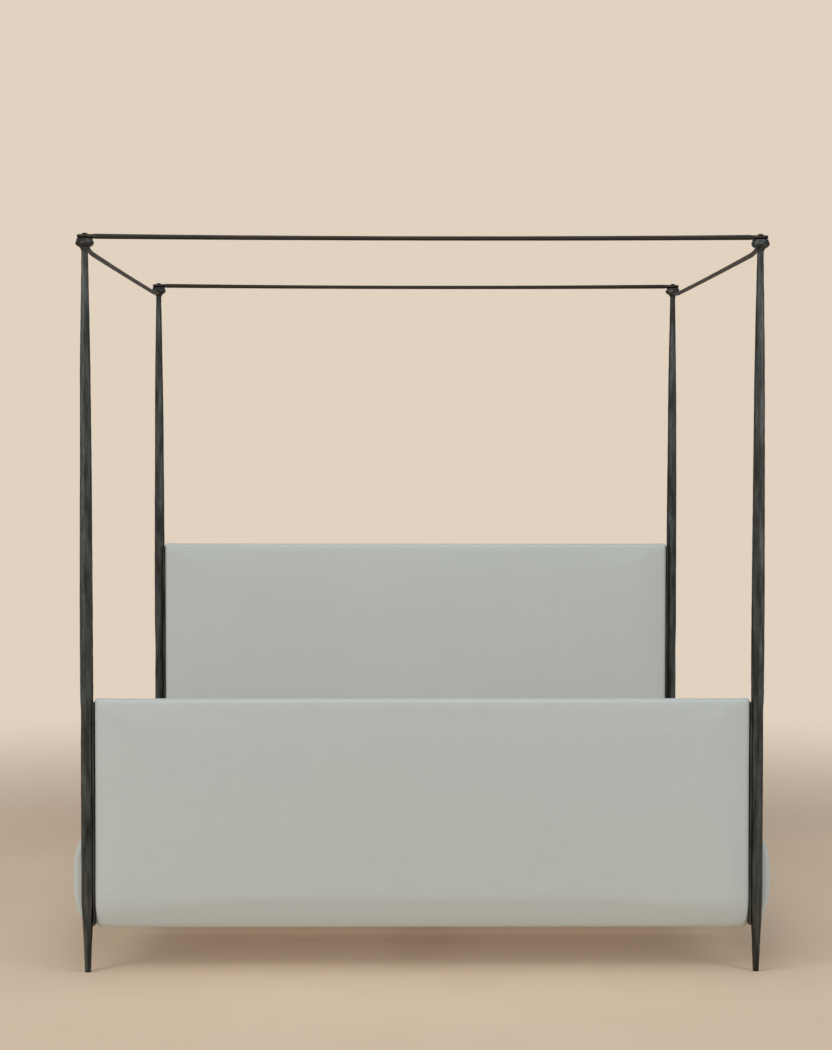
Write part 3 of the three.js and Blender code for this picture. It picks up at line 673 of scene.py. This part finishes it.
def build_bolster(side):
    """A padded side rail: a half-elliptic pad outside, cloth carried over the top and tacked inside."""
    node = f"side_rail_cover_{side}"
    core_low, core_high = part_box(f"side_rail_core_{side}")
    low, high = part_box(node)
    sign = 1 if side == "right" else -1
    inner, outer_x = (low.x, high.x) if sign > 0 else (-high.x, -low.x)
    gap = 0.3 * MM
    core_outer = max(abs(core_low.x), abs(core_high.x)) + gap
    core_z0, core_z1 = core_low.z - gap, core_high.z + gap
    rail_y = core_high.y
    pad_y = high.y
    panel_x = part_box("mounting_bar_foot_right")[1].x + 1.5 * MM
    middle_z, half_z = (low.z + high.z) / 2, (high.z - low.z) / 2
    bulge = 34 * MM
    start = outer_x - bulge
    xs = ticks((inner, core_outer, 7 * MM), (core_outer, panel_x, 7 * MM), (panel_x, start, 8 * MM),
               (start, outer_x, 6 * MM))
    ys = ticks((-pad_y, -rail_y, 5 * MM), (-rail_y, -rail_y + 60 * MM, 9 * MM),
               (-rail_y + 60 * MM, rail_y - 60 * MM, 14 * MM), (rail_y - 60 * MM, rail_y, 9 * MM),
               (rail_y, pad_y, 5 * MM))
    zs = ticks((low.z, core_z0, 6 * MM), (core_z0, core_z1, 10 * MM), (core_z1, high.z, 6 * MM))
    middle = [(line[1:] + line[:-1]) / 2 for line in (xs, ys, zs)]
    cx, cy, cz = np.meshgrid(*middle, indexing="ij")
    pocket = (cx < core_outer) & (cz > core_z0) & (cz < core_z1)
    beyond = (abs(cy) > rail_y) & (cx < panel_x)
    points, faces = lattice_shell(xs, ys, zs, ~(pocket | beyond))
    out = np.clip((points[:, 0] - start) / bulge, 0, 1)
    rise = (points[:, 2] - middle_z) / half_z
    points[:, 0] = np.where(out > 0, start + bulge * out * np.sqrt(1 - rise ** 2 / 2), points[:, 0])
    points[:, 2] = middle_z + half_z * rise * np.sqrt(1 - out ** 2 / 2)
    end_round = 13 * MM
    past = np.clip((abs(points[:, 1]) - pad_y + end_round) / end_round, 0, 1)
    inset = end_round * (1 - np.sqrt(1 - past ** 2)) * (points[:, 0] > panel_x + MM)
    points[:, 0] -= inset * (points[:, 0] - panel_x) / (outer_x - panel_x)
    points[:, 2] -= inset * (points[:, 2] - middle_z) / half_z
    points[:, 0] += out * waves(points, (3.0, 4.0, 6.0), 31.0) * 0.9 * MM
    free = np.clip((points[:, 0] - core_outer - 6 * MM) / (30 * MM), 0, 1)
    points[:, 0] *= sign
    if sign < 0:
        faces = faces[:, ::-1]
    piece = make_piece(f"side_rail_{side}_upholstery", points, faces, LINEN_Y, "linen", "bed", node)
    inflate(piece, free)
    refine(piece)


# ---- Pieces that keep their CAD shape ----

def dress(node, material, edge):
    """A CAD node with its own material and a small rounded edge."""
    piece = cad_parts[node]
    for slot in piece.material_slots:
        slot.material = material
    bevel = piece.modifiers.new("edges", "BEVEL")
    bevel.width = edge
    bevel.segments = 2
    bevel.limit_method = "ANGLE"
    bevel.angle_limit = math.radians(40)


# ---- Scene ----

def aim(piece, target):
    direction = Vector(target) - piece.location
    piece.rotation_mode = "QUATERNION"
    piece.rotation_quaternion = direction.to_track_quat("-Z", "Y")


def add_camera():
    """The photograph's view: from the foot, a little left of the middle, looking very slightly down."""
    pitch, yaw, roll = math.radians(2.13), math.radians(0.58), math.radians(0.05)
    forward = Vector((math.sin(yaw) * math.cos(pitch), math.cos(yaw) * math.cos(pitch), -math.sin(pitch)))
    level = Vector((math.cos(yaw), -math.sin(yaw), 0))
    upward = level.cross(forward)
    right = level * math.cos(roll) + upward * math.sin(roll)
    up = upward * math.cos(roll) - level * math.sin(roll)
    camera = bpy.data.objects.new("camera", bpy.data.cameras.new("camera"))
    camera.data.lens = 75.63
    camera.data.sensor_width = 36
    camera.data.clip_end = 100
    turn = Matrix((right, up, -forward)).transposed().to_4x4()
    camera.matrix_world = Matrix.Translation((-0.09, -7.885, 1.645)) @ turn
    bpy.context.scene.collection.objects.link(camera)
    bpy.context.scene.camera = camera


def add_area(name, place, target, size, power, colour):
    light = bpy.data.lights.new(name, "AREA")
    light.shape = "RECTANGLE"
    light.size, light.size_y = size
    light.energy = power
    light.color = colour
    lamp = bpy.data.objects.new(name, light)
    lamp.location = place
    bpy.context.scene.collection.objects.link(lamp)
    aim(lamp, target)


def add_sky_patch(name, place, strength, spread, colour):
    """A wide, far patch of soft light, in the direction of place from the bed. spread is in degrees."""
    light = bpy.data.lights.new(name, "SUN")
    light.angle = math.radians(spread)
    light.energy = strength
    light.color = colour
    lamp = bpy.data.objects.new(name, light)
    lamp.location = place
    bpy.context.scene.collection.objects.link(lamp)
    aim(lamp, (0, 0, 0))


WALL = rgb(226, 210, 192)
FLOOR_SOLID, FLOOR_CLEAR, FLOOR_REACH = 1.8, 6.0, 8.0


def floor_finish():
    """A pale floor that fades into the background away from the bed, so that no hard horizon shows."""
    look = Shader("pale_floor", Roughness=0.8, Specular_IOR_Level=0.2)
    mottle = look.noise(look.place, 1.6, 3.0)
    colour = look.mix(look.ramp(mottle, 0.3, 0.7, 0.0, 1.0), rgb(238, 216, 192), rgb(234, 211, 186))
    look.finish(Base_Color=colour)
    distance = look.node("ShaderNodeVectorMath", {0: look.place}, operation="LENGTH").outputs["Value"]
    fade = look.node("ShaderNodeMapRange", {0: distance, 1: FLOOR_SOLID, 2: FLOOR_CLEAR},
                  interpolation_type="SMOOTHSTEP")
    clear = look.node("ShaderNodeBsdfTransparent")
    choices = {0: fade.outputs[0], 1: look.surface.outputs[0], 2: clear.outputs[0]}
    both = look.node("ShaderNodeMixShader", choices)
    look.put(look.tree.nodes["Material Output"].inputs["Surface"], both.outputs[0])
    return look.material


def add_studio():
    world = bpy.data.worlds.new("studio")
    world.use_nodes = True
    tree = world.node_tree
    ambient = tree.nodes["Background"]
    ambient.inputs["Color"].default_value = rgb(226, 224, 221)
    ambient.inputs["Strength"].default_value = 0.4
    wall = tree.nodes.new("ShaderNodeBackground")
    wall.inputs["Color"].default_value = WALL
    seen = tree.nodes.new("ShaderNodeLightPath")
    either = tree.nodes.new("ShaderNodeMixShader")
    tree.links.new(seen.outputs["Is Camera Ray"], either.inputs[0])
    tree.links.new(ambient.outputs[0], either.inputs[1])
    tree.links.new(wall.outputs[0], either.inputs[2])
    tree.links.new(either.outputs[0], tree.nodes["World Output"].inputs["Surface"])
    bpy.context.scene.world = world
    add_sky_patch("sky_left", (-4.0, -3.8, 3.3), 0.7, 60, (1.0, 0.98, 0.95))
    add_sky_patch("sky_right", (4.4, -3.6, 2.6), 0.3, 60, (0.94, 0.97, 1.0))
    add_area("window", (-3.3, -3.5, 1.9), (-0.6, -0.4, 0.9), (1.2, 2.4), 34, (1.0, 0.98, 0.95))
    add_area("fill", (3.3, -3.5, 1.9), (0.6, -0.4, 0.9), (1.2, 2.4), 30, (0.94, 0.97, 1.0))
    add_area("ceiling", (0, -0.7, 3.4), (0, 1.07, 1.0), (2.4, 3.0), 27, (1.0, 1.0, 1.0))
    floor_material = floor_finish()
    corners = 96
    turns = [2 * math.pi * number / corners for number in range(corners)]
    rim = [(FLOOR_REACH * math.cos(turn), FLOOR_REACH * math.sin(turn), 0) for turn in turns]
    mesh = bpy.data.meshes.new("floor")
    mesh.from_pydata(rim, [], [list(range(corners))])
    mesh.materials.append(floor_material)
    floor = bpy.data.objects.new("floor", mesh)
    bpy.context.scene.collection.objects.link(floor)
    bpy.context.scene.view_settings.view_transform = "Standard"


add_camera()
add_studio()

for number, corner in enumerate(CORNERS):
    build_post(corner, 11 + number)
    build_collar(corner, 31 + number)
    build_finial(corner, 51 + number)
for number, end in enumerate(ENDS):
    build_end_rail(end, 71 + number)
for number, side in enumerate(SIDES):
    build_side_rail(side, 81 + number)
    build_bolster(side)
build_panel("footboard_cover", "footboard_core", "footboard_inner_panel")
build_panel("headboard_cover", "headboard_core", "headboard_back_panel")

for corner in CORNERS:
    # The mounting bars take the posts' lighter iron: painted light that brightens them where they stand in
    # shade beside the posts.
    dress(f"mounting_bar_{corner}", IRON_POST_PAINTED_LIGHT, 1.2 * MM)
    dress(f"rail_bracket_{corner}", BLACK_STEEL, 0.8 * MM)
    dress(f"foot_glide_{corner}", NYLON, 0.5 * MM)
for end in ENDS:
    dress(f"beam_hanger_{end}", BLACK_STEEL, 0.8 * MM)
    dress(f"centre_leg_{end}", BLACK_STEEL, 0.6 * MM)
    build_leveller_stem(end)
    dress(f"leveller_pad_{end}", NYLON, 0.5 * MM)
for side in SIDES:
    dress(f"slat_ledge_{side}", BLACK_STEEL, 0.6 * MM)
    dress(f"side_rail_core_{side}", PLYWOOD, 1.0 * MM)
for board in ("footboard_core", "headboard_core"):
    dress(board, PLYWOOD, 1.0 * MM)
dress("centre_beam", PINE_BEAM, 2.0 * MM)
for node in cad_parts:
    if node.startswith("slat_") and not node.startswith("slat_ledge"):
        dress(node, PINE, 2.0 * MM)
